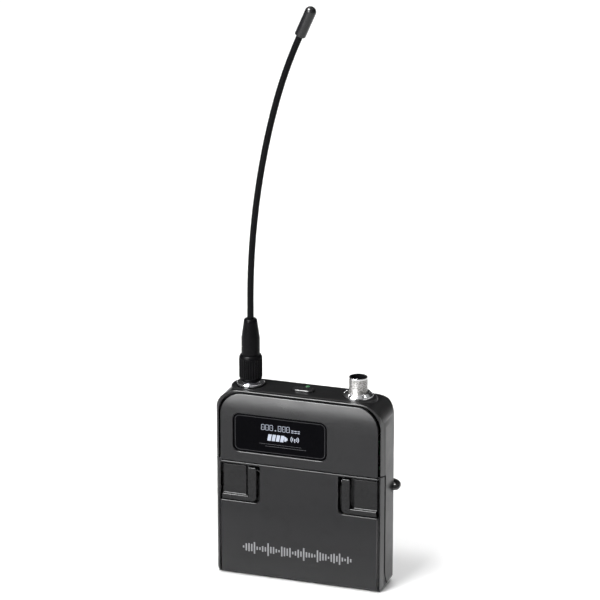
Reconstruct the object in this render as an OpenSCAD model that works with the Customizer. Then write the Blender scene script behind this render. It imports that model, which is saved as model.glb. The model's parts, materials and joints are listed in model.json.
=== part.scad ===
// Wireless body-pack transmitter: a flat case with a squeeze-latched battery door, a display,
// a screw-on whip antenna, a round microphone connector and a wire belt clip.
// Units are millimetres. +Z is up, the front faces -Y, the origin is mid-thickness at the base.

/* [Case] */
// Width of the case
case_w = 70; // [69:0.5:74]
// Thickness of the case, front to back
case_t = 17.8; // [17.8:0.1:18.6]
// Height of the case without its connectors
case_h = 78; // [78:0.5:82]
// Thickness of the moulded walls
wall = 1.5; // [1.4:0.05:1.6]
// Radius of the two upper corners seen from the front
top_corner_r = 10; // [9:0.5:11]
// Radius of the two lower corners seen from the front
low_corner_r = 3.6; // [3.2:0.1:4]
// Radius of the upright edges at the back
rear_edge_r = 5.2; // [4.8:0.1:5.4]

/* [Front] */
// Height at which the cover ends and the door begins
door_top = 48; // [47.6:0.1:48.4]
// Width of the black groove round the front panels
groove_w = 0.8; // [0.6:0.05:0.9]
// Width of the display window
window_w = 39; // [36:0.5:40]
// Height of the display window
window_h = 16; // [15:0.1:16.4]

/* [Antenna and connector] */
// Sideways place of the antenna, measured from the middle of the case
antenna_x = -22.9; // [-23.4:0.1:-22.4]
// Sideways place of the microphone connector
mic_x = 21.6; // [21:0.1:22.2]
// Radius of the flexible whip
whip_r = 1.3; // [1.2:0.05:1.5]
// Outer radius of the microphone connector's barrel
mic_r = 3.65; // [3.5:0.05:3.8]

/* [Batteries] */
// Radius of an AA cell
cell_r = 7.2; // [7:0.05:7.2]
// Length of an AA cell over its nub
cell_len = 50.5; // [49:0.5:50.5]

/* [Travel] */
// How far each door latch slides towards the middle
latch_travel = 1.2; // [1:0.05:1.2]
// How far the power button goes down
power_travel = 0.5; // [0.3:0.1:0.5]
// How far each control button goes in
key_travel = 0.4; // [0.3:0.1:0.4]

/* [Hidden] */
$fn = 48;

half_w = case_w / 2;
front_y = -case_t / 2;
back_y = case_t / 2;
inner_back_y = back_y - wall;
side_wall = wall + 0.1;
inner_w = half_w - side_wall;
seam = 0.2;              // gap at every seam between moulded parts
far = 5;                 // how far a cutting shape runs past what it cuts

// Edge roundings of the case, seen from the side
front_edge_r = 3;
front_low_r = 1.8;
rear_low_r = 6;
rear_top_r = 4;
front_top_r = 0.6;
top_wall = 1.8;
floor_z = 1.6;

// Boss under the two connectors
boss_r = 7.7;
boss_top = case_h + 0.3;
boss_base = case_h - 8;
boss_edge_r = 1.1;
ring_seat_z = boss_top - 0.8; // floor of the round recess that the chrome ring sits in
ring_recess_r = 6.1;

// Front panels
panel_t = wall;
panel_back_y = front_y + panel_t;
panel_half_w = inner_w - groove_w;
cover_z0 = door_top + 0.35;
cover_z1 = case_h - 0.4 - groove_w;
window_x0 = -27.4;
window_z0 = 52.6;
window_corner_r = 2.8;

// Door hinge: the seam at the foot of the case is an arc about this axis
hinge_y = 3.4;
hinge_z = 9.5;
seam_arc_r = hinge_z;
door_gap = 0.5;          // gap between the door's rear edge and the case
door_arc_r = seam_arc_r + door_gap;
door_side_y = hinge_y - seam_arc_r + 0.1;
strip_rise = 0.8;        // the door's side strips stand this much above its front edge
ear_x0 = inner_w - 2.8;
ear_x1 = inner_w - 0.8;
ear_r = 2.1;
hinge_pin_r = 0.9;
foot_end_y = hinge_y - 2.8;
floor_front_y = -0.6;

// Door latches
latch_x0 = 17.7;
latch_x1 = 32.1;
latch_z0 = 31.8;
latch_z1 = 46.2;
latch_corner_r = 2;
latch_rim = 3.4;
latch_sill = 2.2;
latch_groove_w = 1.2;
latch_groove_d = 0.8;
pocket_x0 = latch_x0 - latch_travel - 0.3;
pocket_x1 = 33;
pocket_z0 = 31.4;
pocket_z1 = 47.2;
pad_y = front_y + 1.7;
latch_back_y = pad_y + 1.3;
hook_tip_x = half_w - 0.8;
hook_z0 = 36.6;
hook_z1 = 41.4;
spring_z = 43.9;
spring_y = -5.05;
spring_post_x = 16.2;
spring_lug_x = 19.2;

// Batteries lie on their sides, one above the other
cell_y = 0.1;
lower_cell_z = 9.9;
upper_cell_z = 24.8;
contact_x = cell_len / 2 + 1.6;
tray_end_x = contact_x + 0.4;

// Control panel behind the door
control_z = 41;
control_pitch = 9.5;
control_front_y = -6.4;
board_front_y = -3;
board_back_y = -1.8;

// Screws
cover_screws = [[-30.3, 53.5], [30.3, 53.5], [-30.3, 66], [30.3, 66]];
cover_post_r = 1.8;
cover_post_y = 4.4;      // where the cover's posts end and the case's standoffs take over
standoff_r = 2.6;
screw_seat_y = back_y - 1.7;
screw_head_r = 1.85;
screw_head_t = 0.75;
screw_shank_r = 0.95;
tray_screw_x = 30.9;
tray_screw_z = 21;

// Power button and status light on top
button_x = -0.7;
button_y = -1;
button_len = 8.8;
button_r = 2.2;
led_x = -0.5;
led_y = 4;

// Antenna
collar_z0 = boss_top + 1.4;
collar_z1 = 90.6;
collar_r = 4.6;
sleeve_z1 = 97.5;
cone_z1 = 105.4;
whip_start_z = 95;
bend_start_z = 112;
bend1_r = 312;
bend1_a = 14.5;
bend2_r = 195;
bend2_a = 9.4;
cap_r = 2.2;
cap_len = 12.6;
cap_cover = 7;           // length of whip inside the cap
bend1_c = [antenna_x + bend1_r, bend_start_z];
bend1_end = [bend1_c[0] - bend1_r * cos(bend1_a), bend1_c[1] + bend1_r * sin(bend1_a)];
bend2_c = [bend1_end[0] + bend2_r * cos(bend1_a), bend1_end[1] - bend2_r * sin(bend1_a)];
tilt = bend1_a + bend2_a;
bend2_end = [bend2_c[0] - bend2_r * cos(tilt), bend2_c[1] + bend2_r * sin(tilt)];

// Microphone connector: a thread under the nut, and a plain barrel above it
mic_top = 86.3;
mic_thread_r = mic_r + 0.35;
mic_thread_top = boss_top + 2;
mic_thread_taper = 0.6;
mic_inner_r = mic_r - 0.75;
mic_insert_z = 82.8;

// Flanges that hold both connectors against the inside of the top
flange_r = 5.1;
flange_z = 73.2;
flange_top = 75.35;
jack_body_r = 3.9;

// Belt clip
clip_y = 3.5;
clip_z = 40.4;
clip_wire_r = 1.1;
clip_out_x = half_w + 1.35;
clip_back_y = back_y + 1.7;
clip_leg_x = 20;
clip_low_z = 7;
bush_r = 2;

// ---------- Building blocks ----------

// A rectangle from p to q with one radius for each corner: [low-low, high-low, high-high, low-high]
module rounded_panel(p, q, r) {
  x = [p[0], q[0], q[0], p[0]];
  y = [p[1], p[1], q[1], q[1]];
  sx = [1, -1, -1, 1];
  sy = [1, 1, -1, -1];
  difference() {
    translate(p) square(q - p);
    for (i = [0:3])
      translate([x[i] + sx[i] * r[i] / 2, y[i] + sy[i] * r[i] / 2]) square(r[i], center = true);
  }
  for (i = [0:3])
    translate([x[i] + sx[i] * r[i], y[i] + sy[i] * r[i]]) circle(r[i]);
}

// A flat shape drawn in X and Z, run along Y
module along_y(y0, y1) {
  translate([0, y1, 0]) rotate([90, 0, 0]) linear_extrude(y1 - y0) children();
}

// A flat shape drawn in Y and Z, run along X
module along_x(x0, x1) {
  translate([x0, 0, 0]) rotate([90, 0, 90]) linear_extrude(x1 - x0) children();
}

// A flat shape drawn in X and Y, run along Z
module along_z(z0, z1) {
  translate([0, 0, z0]) linear_extrude(z1 - z0) children();
}

// A box from corner p to corner q
module block(p, q) {
  translate(p) cube(q - p);
}

// A round bar along Y
module bar_y(x, z, y0, y1, r) {
  translate([x, y1, z]) rotate([90, 0, 0]) cylinder(h = y1 - y0, r = r);
}

// A round bar along X
module bar_x(y, z, x0, x1, r) {
  translate([x0, y, z]) rotate([0, 90, 0]) cylinder(h = x1 - x0, r = r);
}

// A flat pill shape centred on the origin
module pill(len, r) {
  square([len - 2 * r, 2 * r], center = true);
  for (s = [-1, 1])
    translate([s * (len / 2 - r), 0]) circle(r);
}

// The right-hand copy, then its mirror image on the left
module both_sides() {
  children();
  mirror([1, 0, 0]) children();
}

// The outer form of the closed case; inset shrinks it for the space inside, which is open at the front.
// Only one of the three profiles sets each flat side, so that no two roundings touch edge to edge.
module case_form(inset, side, top, low, front) {
  loose = 0.02;
  x1 = half_w - side;
  y1 = back_y - inset;
  z1 = case_h - top;
  intersection() {
    along_y(front - far, back_y + far)
      rounded_panel([-x1 - loose, low], [x1 + loose, z1],
        [low_corner_r - inset, low_corner_r - inset, top_corner_r - inset, top_corner_r - inset]);
    along_z(-far, case_h + far)
      rounded_panel([-x1, front], [x1, y1],
        [front_edge_r, front_edge_r, rear_edge_r - inset, rear_edge_r - inset]);
    along_x(-half_w - far, half_w + far)
      rounded_panel([front - loose, low - loose], [y1 + loose, z1 + loose],
        [front_low_r, rear_low_r - inset, rear_top_r - inset, front_top_r]);
  }
}

module outer_form() {
  case_form(0, 0, 0, 0, front_y);
}

// The space inside the walls, with a gap for the parts that fill it
module inner_form(gap = 0) {
  case_form(wall + gap, side_wall + gap, top_wall + gap, floor_z + gap, front_y - 2 * far);
}

// Boss with a rounded upper edge that carries both connectors
module connector_boss() {
  along_x(antenna_x, mic_x)
    rounded_panel([-boss_r, boss_base], [boss_r, boss_top], [0.01, 0.01, boss_edge_r, boss_edge_r]);
  translate([antenna_x, 0, boss_base]) rotate([0, 0, 90]) boss_end();
  translate([mic_x, 0, boss_base]) rotate([0, 0, -90]) boss_end();
}

module boss_end() {
  rotate_extrude(angle = 180) {
    square([boss_r - boss_edge_r, boss_top - boss_base]);
    square([boss_r, boss_top - boss_base - boss_edge_r]);
    translate([boss_r - boss_edge_r, boss_top - boss_base - boss_edge_r])
      intersection() {
        circle(boss_edge_r);
        square(boss_edge_r);
      }
  }
}

// Side view of the space that belongs to the door, in front of and below the hinge arc
module door_side_view(arc_r, side_y, top_z) {
  difference() {
    translate([front_y - far, -far]) square([hinge_y - front_y + far, top_z + far]);
    translate([side_y, hinge_z]) square([2 * far + hinge_y - side_y, top_z]);
    translate([hinge_y, hinge_z]) circle(arc_r);
  }
}

// Helical wire along X from x0 to x1: a swept ring of points
function coil_ring(c, a, r, wire, sides) =
  [for (k = [0:sides - 1])
    let (b = 360 * k / sides, d = r + wire * cos(b))
    [c + wire * sin(b), d * cos(a), d * sin(a)]];

module coil(x0, x1, r, wire, turns, r_end) {
  sides = 6;
  steps = ceil(turns * 10);
  rings = [for (i = [0:steps])
    coil_ring(x0 + wire + (x1 - x0 - 2 * wire) * i / steps, 360 * turns * i / steps,
      r + (r_end - r) * i / steps, wire, sides)];
  points = [for (ring = rings) each ring];
  skin = [for (i = [0:steps - 1], k = [0:sides - 1])
    [i * sides + k, i * sides + (k + 1) % sides, (i + 1) * sides + (k + 1) % sides, (i + 1) * sides + k]];
  ends = [[for (k = [0:sides - 1]) sides - 1 - k], [for (k = [0:sides - 1]) steps * sides + k]];
  polyhedron(points, concat(skin, ends), convexity = 6);
}

// ---------- Case ----------

// Moulded tub: back, sides, top with its boss, and a narrow floor
module rear_case() {
  color("#2c2c2e")
    difference() {
      union() {
        outer_form();
        connector_boss();
      }
      inner_form();
      // seat of the front cover
      along_y(front_y - far, panel_back_y + 0.1)
        rounded_panel([-inner_w, door_top - far], [inner_w, cover_z1 + groove_w],
          [0.3, 0.3, top_corner_r - 0.6, top_corner_r - 0.6]);
      // room for the door
      along_x(-half_w - far, half_w + far)
        door_side_view(seam_arc_r, door_side_y, door_top + strip_rise + seam);
      // open mouth of the battery bay, in front of the floor
      block([-inner_w, front_y - far, -far], [inner_w, floor_front_y, floor_z + far]);
      // slots that the door's ears swing through
      both_sides() block([ear_x0 - 0.4, front_y - far, -far], [inner_w, hinge_y + 1.9, floor_z + 0.8]);
      // seats of the hinge pins
      both_sides() bar_x(hinge_y, hinge_z, inner_w - 1, inner_w + 0.9, hinge_pin_r + 0.02);
      // notches that the latch hooks drop into, open to the front
      both_sides() block([inner_w - 1, door_side_y - 1, hook_z0 - 0.6], [half_w - 0.5, -4.3, hook_z1 + 0.6]);
      // openings for the clip bushes
      both_sides() bar_x(clip_y, clip_z, inner_w - 1, half_w + far, bush_r + 0.05);
      // recess for the chrome ring
      translate([antenna_x, 0, ring_seat_z]) cylinder(h = far, r = ring_recess_r);
      // openings in the top
      translate([antenna_x, 0, boss_base]) cylinder(h = 20, r = jack_body_r + 0.1);
      translate([mic_x, 0, boss_base]) cylinder(h = 20, r = mic_thread_r + 0.1);
      translate([button_x, button_y, 0])
        along_z(boss_base, boss_top + far) pill(button_len + 0.4, button_r + 0.2);
      translate([led_x, led_y, boss_base]) cylinder(h = 20, r = 0.85);
      // counterbores of the case screws, which enter from the back
      for (p = cover_screws) {
        bar_y(p[0], p[1], cover_post_y, back_y, screw_shank_r + 0.2);
        bar_y(p[0], p[1], screw_seat_y, back_y + far, screw_head_r + 0.15);
      }
    }
  // flat seats under the top for the flanges of the two connectors
  color("#2c2c2e") {
    connector_seat(antenna_x, jack_body_r + 0.1);
    connector_seat(mic_x, mic_thread_r + 0.1);
  }
  // standoffs that the case screws clamp against the cover's posts
  color("#2c2c2e")
    for (p = cover_screws)
      difference() {
        bar_y(p[0], p[1], cover_post_y + 0.1, inner_back_y + 0.2, standoff_r);
        bar_y(p[0], p[1], 0, back_y, screw_shank_r + 0.2);
        bar_y(p[0], p[1], screw_seat_y, back_y, screw_head_r + 0.15);
      }
  // posts for the tray screws
  color("#2c2c2e")
    both_sides()
      difference() {
        bar_y(tray_screw_x, tray_screw_z, 1, inner_back_y + 0.2, 1.9);
        bar_y(tray_screw_x, tray_screw_z, 0, inner_back_y - 0.5, 0.82);
      }
}

module connector_seat(x, hole_r) {
  translate([x, 0, flange_top + 0.05])
    difference() {
      cylinder(h = case_h - top_wall - flange_top + 0.2, r = flange_r + 0.1);
      translate([0, 0, -1]) cylinder(h = far, r = hole_r);
    }
}

// Upper front plate with the window opening and four screw posts behind it
module front_cover() {
  color("#4a4b4e") {
    difference() {
      along_y(front_y, panel_back_y)
        rounded_panel([-panel_half_w, cover_z0], [panel_half_w, cover_z1],
          [0.4, 0.4, top_corner_r - 1, top_corner_r - 1]);
      along_y(front_y - far, front_y + far)
        rounded_panel([window_x0, window_z0], [window_x0 + window_w, window_z0 + window_h],
          [window_corner_r, window_corner_r, window_corner_r, window_corner_r]);
    }
    for (p = cover_screws)
      difference() {
        bar_y(p[0], p[1], panel_back_y - 0.2, cover_post_y, cover_post_r);
        bar_y(p[0], p[1], -1.6, back_y, screw_shank_r + 0.05);
      }
  }
}

// Glossy lens: it fills the opening from behind and has a flange inside
module display_window() {
  r = window_corner_r - 0.1;
  color("#0b0b0d") {
    along_y(front_y + 0.45, panel_back_y + 0.05)
      rounded_panel([window_x0 + 0.1, window_z0 + 0.1],
        [window_x0 + window_w - 0.1, window_z0 + window_h - 0.1], [r, r, r, r]);
    along_y(panel_back_y + 0.05, panel_back_y + 0.8)
      rounded_panel([window_x0 - 0.6, window_z0 - 0.6],
        [window_x0 + window_w + 0.6, window_z0 + window_h + 0.6], [r, r, r, r]);
  }
}

module display_module() {
  color("#16181c")
    block([window_x0 + 1.4, panel_back_y + 0.95, window_z0 + 1],
      [window_x0 + window_w - 1.4, -4.9, window_z0 + window_h - 1]);
}

// Frame that holds the display in front of the board
module display_holder() {
  color("#1f2022")
    difference() {
      block([window_x0 - 0.6, panel_back_y + 1, window_z0 - 0.6],
        [window_x0 + window_w + 0.6, board_front_y - 0.05, window_z0 + window_h + 0.6]);
      block([window_x0 + 1.3, panel_back_y, window_z0 + 0.9],
        [window_x0 + window_w - 1.3, -4.8, window_z0 + window_h - 0.9]);
    }
}

// Board with a tongue that reaches down behind the control buttons
module main_board() {
  color("#1f4a33")
    difference() {
      union() {
        block([-31.6, board_front_y, 49.6], [31.6, board_back_y, 71.8]);
        block([-15, board_front_y, 36.2], [15, board_back_y, 49.6]);
      }
      for (p = cover_screws)
        bar_y(p[0], p[1], -far, far, 2.4);
      block([-33, -far, 63.4], [-17.4, far, 73]);
      block([16.2, -far, 62.6], [33, far, 73]);
    }
}

// Drawn shield can over the radio section, on the back of the board
module rf_shield() {
  color("silver")
    difference() {
      block([-14, board_back_y + 0.02, 52], [13, 1.6, 70]);
      block([-13.7, board_back_y - 1, 52.3], [12.7, 1.3, 69.7]);
    }
}

module switch_board() {
  color("#1f4a33")
    block([-8.5, -6, 72.4], [7.2, 6.2, 73.2]);
}

// Tactile switch under the power button
module power_switch() {
  color("#3a3a3c") {
    block([button_x - 3, button_y - 3, 73.22], [button_x + 3, button_y + 3, 74]);
    translate([button_x, button_y, 74]) cylinder(h = 0.45, r = 1.4);
  }
}

// Light pipe that shows through the top
module status_led() {
  color("#7fe08a") {
    translate([led_x, led_y, 75]) cylinder(h = boss_top - 75 + 0.1, r = 0.8);
    translate([led_x, led_y, 73.22]) cylinder(h = 1.78, r = 1.1);
  }
}

module power_button() {
  color("#26262a")
    translate([button_x, button_y, 0]) {
      along_z(74.6 + power_travel, case_h - top_wall - 0.15) pill(button_len + 1.2, button_r + 0.6);
      along_z(case_h - top_wall - 0.15, boss_top + 0.8) pill(button_len, button_r);
    }
}

// ---------- Controls behind the door ----------

module control_panel() {
  color("#232325")
    difference() {
      union() {
        block([-14.8, control_front_y, 34.3], [14.8, control_front_y + 0.9, 47.3]);
        both_sides() block([13.6, control_front_y, 34.3], [14.8, board_front_y - 0.05, 47.3]);
      }
      for (i = [-1:1])
        along_y(-9, -5) translate([i * control_pitch, control_z]) pill(7, 2.35);
    }
}

module control_button(i) {
  color("#5a5b60") {
    along_y(control_front_y - 0.6, control_front_y + 0.95) translate([i * control_pitch, control_z]) pill(6.6, 2.15);
    along_y(control_front_y + 0.95, -4.95) translate([i * control_pitch, control_z]) pill(7.8, 2.8);
  }
}

module set_button() {
  control_button(-1);
}

module down_button() {
  control_button(0);
}

module up_button() {
  control_button(1);
}

module control_switches() {
  color("#8a8c90")
    for (i = [-1:1]) {
      block([i * control_pitch - 2.6, -4.05, control_z - 2.2],
        [i * control_pitch + 2.6, board_front_y - 0.02, control_z + 2.2]);
      bar_y(i * control_pitch, control_z, -4.95 + key_travel + 0.05, -4.05, 1);
    }
}

// ---------- Batteries ----------

// End walls, a shelf over the cells and two screw lugs
module battery_tray() {
  color("#1c1c1e")
    difference() {
      intersection() {
        union() {
          both_sides() block([tray_end_x, -4.7, floor_z], [tray_end_x + 1.5, back_y, 33.5]);
          block([-half_w, -4, 32.6], [half_w, back_y, 34]);
          both_sides() block([tray_end_x, -0.6, 18.4], [half_w, 0.9, 23.6]);
        }
        inner_form(0.2);
      }
      both_sides() bar_y(tray_screw_x, tray_screw_z, -far, far, 0.95);
      // clear of the door's foot as it swings
      along_x(-half_w, half_w) door_side_view(seam_arc_r - 0.2, door_side_y, hinge_z + far);
    }
}

module aa_cell(z, nub_side) {
  body_len = cell_len - 1.3;
  translate([-nub_side * 0.65, cell_y, z])
    rotate([0, nub_side * 90, 0]) {
      color("#33363b") translate([0, 0, -body_len / 2]) cylinder(h = body_len, r = cell_r);
      color("silver") translate([0, 0, body_len / 2]) cylinder(h = 1.3, r = 2.7);
    }
}

module upper_cell() {
  aa_cell(upper_cell_z, 1);
}

module lower_cell() {
  aa_cell(lower_cell_z, -1);
}

// Coiled springs against the flat ends: upper cell on the left, lower cell on the right
module battery_springs() {
  color("silver") {
    translate([0, cell_y, lower_cell_z]) coil(cell_len / 2 + 0.05, contact_x, 2.2, 0.3, 2.4, 4.4);
    mirror([1, 0, 0])
      translate([0, cell_y, upper_cell_z]) coil(cell_len / 2 + 0.05, contact_x, 2.2, 0.3, 2.4, 4.4);
  }
}

module contact_plate(z0, z1) {
  block([contact_x + 0.02, -4.6, z0], [tray_end_x - 0.02, 5.6, z1]);
}

// One plate on the left joins the two cells in series
module contact_link() {
  color("silver") mirror([1, 0, 0]) contact_plate(lower_cell_z - 5, upper_cell_z + 5.2);
}

module contact_positive() {
  color("silver") {
    contact_plate(upper_cell_z - 5.2, upper_cell_z + 5.2);
    bar_x(cell_y, upper_cell_z, cell_len / 2 + 0.05, contact_x + 0.1, 1.6);
  }
}

module contact_negative() {
  color("silver") contact_plate(lower_cell_z - 5, lower_cell_z + 5.2);
}

// ---------- Screws ----------

module tray_screws() {
  color("silver")
    both_sides() {
      bar_y(tray_screw_x, tray_screw_z, -1.6, -0.62, 1.7);
      bar_y(tray_screw_x, tray_screw_z, -0.62, 5.6, 0.78);
    }
}

module case_screws() {
  head_y = screw_seat_y + 0.05 + screw_head_t;
  color("#2b2b2d")
    for (p = cover_screws)
      difference() {
        union() {
          bar_y(p[0], p[1], screw_seat_y + 0.05, head_y, screw_head_r);
          bar_y(p[0], p[1], -1, screw_seat_y + 0.05, screw_shank_r);
        }
        block([p[0] - 1.2, head_y - 0.4, p[1] - 0.2], [p[0] + 1.2, back_y, p[1] + 0.2]);
        block([p[0] - 0.2, head_y - 0.4, p[1] - 1.2], [p[0] + 0.2, back_y, p[1] + 1.2]);
      }
}

// ---------- Door ----------

// Space inside the door skin: front wall, foot and side strips are left
module door_hollow() {
  block([-inner_w, panel_back_y, panel_t], [inner_w, back_y, case_h]);
}

module battery_door() {
  color("#4a4b4e") {
    difference() {
      intersection() {
        outer_form();
        union() {
          along_x(-panel_half_w, panel_half_w) door_side_view(door_arc_r, door_side_y - door_gap, door_top);
          both_sides()
            along_x(panel_half_w, half_w + far)
              door_side_view(door_arc_r, door_side_y - door_gap, door_top + strip_rise);
        }
      }
      door_hollow();
      // foot ends where it would thin to nothing
      block([-half_w - far, foot_end_y, -far], [half_w + far, back_y, far]);
      // groove round the front panel
      both_sides() block([panel_half_w, front_y - far, -far], [inner_w - 0.05, front_y + 0.7, case_h]);
      // windows for the latches
      both_sides()
        along_y(front_y - far, panel_back_y + 0.1)
          rounded_panel([pocket_x0, pocket_z0], [pocket_x1, pocket_z1], [latch_corner_r + 0.3, 0.2, 0.2, 0.8]);
    }
    both_sides() door_ear();
    // ribs beside the latch windows, and the posts that the latch springs push on
    both_sides() {
      block([spring_post_x - 0.7, panel_back_y - 0.5, pocket_z0 - 0.6],
        [pocket_x0, latch_back_y + 0.1, door_top - 0.2]);
      block([spring_post_x - 0.7, panel_back_y - 0.5, spring_z - 1.5], [spring_post_x, -4.2, spring_z + 1.5]);
    }
  }
}

// Hinge ear: a bar from the front wall to a round knuckle with a bore
module door_ear() {
  difference() {
    along_x(ear_x0, ear_x1) {
      translate([panel_back_y - 0.5, hinge_z - 1.5]) square([hinge_y - panel_back_y + 0.5, 3]);
      translate([hinge_y, hinge_z]) circle(ear_r);
    }
    bar_x(hinge_y, hinge_z, ear_x0 - 1, ear_x1 + 1, hinge_pin_r + 0.05);
  }
}

// Foam strip that steadies the two cells
module cell_pad() {
  color("#141415") block([-18, panel_back_y + 0.02, 15.6], [18, -5.4, 19.1]);
}

// Squeeze latch: a sunk thumb pad with a raised rim on its inner and lower sides, a groove
// between pad and inner rim, and a hook
module latch() {
  color("#3d3e41") {
    difference() {
      along_y(front_y + 0.15, latch_back_y)
        rounded_panel([latch_x0, latch_z0], [latch_x1, latch_z1], [latch_corner_r, 0.3, 0.3, 0.6]);
      block([latch_x0 + latch_rim, front_y - far, latch_z0 + latch_sill],
        [latch_x1 + far, pad_y, latch_z1 + far]);
      block([latch_x0 + latch_rim, front_y - far, latch_z0 + latch_sill],
        [latch_x0 + latch_rim + latch_groove_w, pad_y + latch_groove_d, latch_z1 + far]);
    }
    block([29, latch_back_y, hook_z0], [hook_tip_x, latch_back_y + 1.15, hook_z1]);
    block([spring_lug_x, latch_back_y, spring_z - 1.4], [spring_lug_x + 1.4, -4.2, spring_z + 1.4]);
  }
}

module latch_right() {
  latch();
}

module latch_left() {
  mirror([1, 0, 0]) latch();
}

// Plates inside the door that hold the latches in
module latch_retainers() {
  color("#2a2a2c")
    both_sides()
      difference() {
        block([spring_post_x - 0.7, latch_back_y + 0.15, pocket_z0 - 0.6],
          [pocket_x1, latch_back_y + 0.9, door_top - 0.2]);
        block([29 - latch_travel - 0.3, front_y, hook_z0 - 0.3], [half_w, 0, hook_z1 + 0.3]);
        block([spring_post_x - 3, front_y, spring_z - 1.7], [spring_lug_x + 1.8, 0, spring_z + 1.7]);
      }
}

module latch_spring() {
  color("silver")
    translate([0, spring_y, spring_z]) coil(spring_post_x + 0.02, spring_lug_x - 0.02, 0.6, 0.15, 5, 0.6);
}

module latch_spring_right() {
  latch_spring();
}

module latch_spring_left() {
  mirror([1, 0, 0]) latch_spring();
}

module hinge_pins() {
  color("silver") both_sides() bar_x(hinge_y, hinge_z, ear_x0 - 0.4, inner_w + 0.85, hinge_pin_r);
}

// ---------- Antenna ----------

// Threaded jack in the top of the case
module antenna_jack() {
  color("#b08d3c")
    translate([antenna_x, 0, 0])
      difference() {
        union() {
          translate([0, 0, flange_z]) cylinder(h = flange_top - flange_z, r = flange_r);
          translate([0, 0, 74]) cylinder(h = ring_seat_z - 74, r = jack_body_r);
          translate([0, 0, ring_seat_z - 0.5]) cylinder(h = boss_top + 6.2 - ring_seat_z + 0.5, r = 2.9);
          translate([0, 0, 70]) cylinder(h = 4, r = 0.8);
        }
        translate([0, 0, 78.8]) cylinder(h = 10, r = 1.1);
      }
}

// Chrome ring nut, dished on top, that clamps the jack
module antenna_ring() {
  color("silver")
    translate([antenna_x, 0, ring_seat_z])
      rotate_extrude()
        polygon([[3, 0], [5.5, 0], [5.5, 1.5], [5.25, 1.8], [4.95, 1.8], [4.2, 0.9], [3, 0.9]]);
}

// Knurled collar that screws down over the jack
module antenna_collar() {
  h = collar_z1 - collar_z0;
  color("#2a2a2b")
    translate([antenna_x, 0, collar_z0])
      rotate_extrude()
        polygon([[3.05, 0], [3.9, 0], [collar_r, 1.6], [collar_r, h - 1], [4.0, h], [2.45, h],
          [2.45, h - 3.6], [3.05, h - 3.6]]);
}

// Moulded sleeve: a stem held by the collar, a barrel and a cone
module antenna_sleeve() {
  color("#262627")
    translate([antenna_x, 0, 0])
      difference() {
        rotate_extrude()
          polygon([[0, 85], [2.95, 85], [2.95, 86.9], [2.4, 86.9], [2.4, collar_z1 + 0.1], [3.65, collar_z1 + 0.1],
            [3.65, sleeve_z1], [2.6, cone_z1 - 0.5], [2.2, cone_z1], [0, cone_z1]]);
        translate([0, 0, whip_start_z]) cylinder(h = 20, r = whip_r + 0.02);
      }
}

// One stretch of the bent whip, starting a degrees from the upright; it begins inside the stretch before it
module whip_bend(c, r, a, sweep, wire) {
  overlap = 0.2;
  translate([c[0], 0, c[1]])
    rotate([90, 0, 0])
      rotate([0, 0, 180 - a - sweep])
        rotate_extrude(angle = sweep + overlap, $fn = 360)
          translate([r, 0]) circle(wire, $fn = 24);
}

// Flexible whip with a lasting lean: upright, then two bends that tighten towards the top.
// Each stretch is a hair thinner than the one below it.
module antenna_whip() {
  color("#1b1b1c") {
    translate([antenna_x, 0, whip_start_z]) cylinder(h = bend_start_z - whip_start_z, r = whip_r, $fn = 24);
    whip_bend(bend1_c, bend1_r, 0, bend1_a, whip_r - 0.01);
    whip_bend(bend2_c, bend2_r, bend1_a, bend2_a, whip_r - 0.02);
    whip_tip() translate([0, 0, -1]) cylinder(h = cap_cover + 1, r = whip_r - 0.03, $fn = 24);
  }
}

module whip_tip() {
  translate([bend2_end[0], 0, bend2_end[1]]) rotate([0, tilt, 0]) children();
}

module antenna_cap() {
  color("#1b1b1c")
    whip_tip()
      difference() {
        union() {
          cylinder(h = cap_len - cap_r, r = cap_r);
          translate([0, 0, cap_len - cap_r]) sphere(cap_r);
        }
        translate([0, 0, -1]) cylinder(h = cap_cover + 1.1, r = whip_r + 0.02);
      }
}

// Pin that carries the signal into the jack
module antenna_contact() {
  color("#d4b04a") translate([antenna_x, 0, 79.6]) cylinder(h = 5.38, r = 0.9);
}

module antenna_lead() {
  color("#222222") translate([antenna_x, 1.9, 62]) cylinder(h = 11.1, r = 0.7);
}

// ---------- Microphone connector ----------

module mic_shell() {
  color("#c4c4c6")
    translate([mic_x, 0, 0])
      difference() {
        union() {
          translate([0, 0, flange_z]) cylinder(h = flange_top - flange_z, r = flange_r);
          translate([0, 0, flange_z])
            cylinder(h = mic_thread_top - mic_thread_taper - flange_z, r = mic_thread_r);
          translate([0, 0, mic_thread_top - mic_thread_taper])
            cylinder(h = mic_thread_taper, r1 = mic_thread_r, r2 = mic_r);
          translate([0, 0, flange_z]) cylinder(h = mic_top - flange_z, r = mic_r);
        }
        translate([0, 0, 70]) cylinder(h = 20, r = mic_inner_r);
      }
}

// Slotted ring nut
module mic_ring_nut() {
  color("silver")
    translate([mic_x, 0, boss_top])
      difference() {
        rotate_extrude()
          polygon([[mic_thread_r + 0.05, 0], [6, 0], [6, 0.8], [4.7, 1.9], [mic_thread_r + 0.05, 1.9]]);
        for (i = [0:5])
          rotate([0, 0, i * 60 + 12]) translate([4.4, -0.65, 0.9]) cube([3, 1.3, 2]);
      }
}

module mic_insert() {
  color("#111112")
    translate([mic_x, 0, 74]) cylinder(h = mic_insert_z - 74, r = mic_inner_r - 0.02);
}

module mic_pins() {
  color("#d4b04a")
    translate([mic_x, 0, mic_insert_z])
      for (i = [0:3])
        rotate([0, 0, 45 + i * 90]) translate([1.4, 0, 0]) {
          cylinder(h = 2, r = 0.36);
          translate([0, 0, 2]) sphere(0.36);
        }
}

module mic_leads() {
  color("#7a2b2b")
    for (i = [-1:1])
      translate([mic_x + i * 1.5, 1.9, 62]) cylinder(h = 11.9, r = 0.45);
}

// ---------- Belt clip ----------

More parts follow.
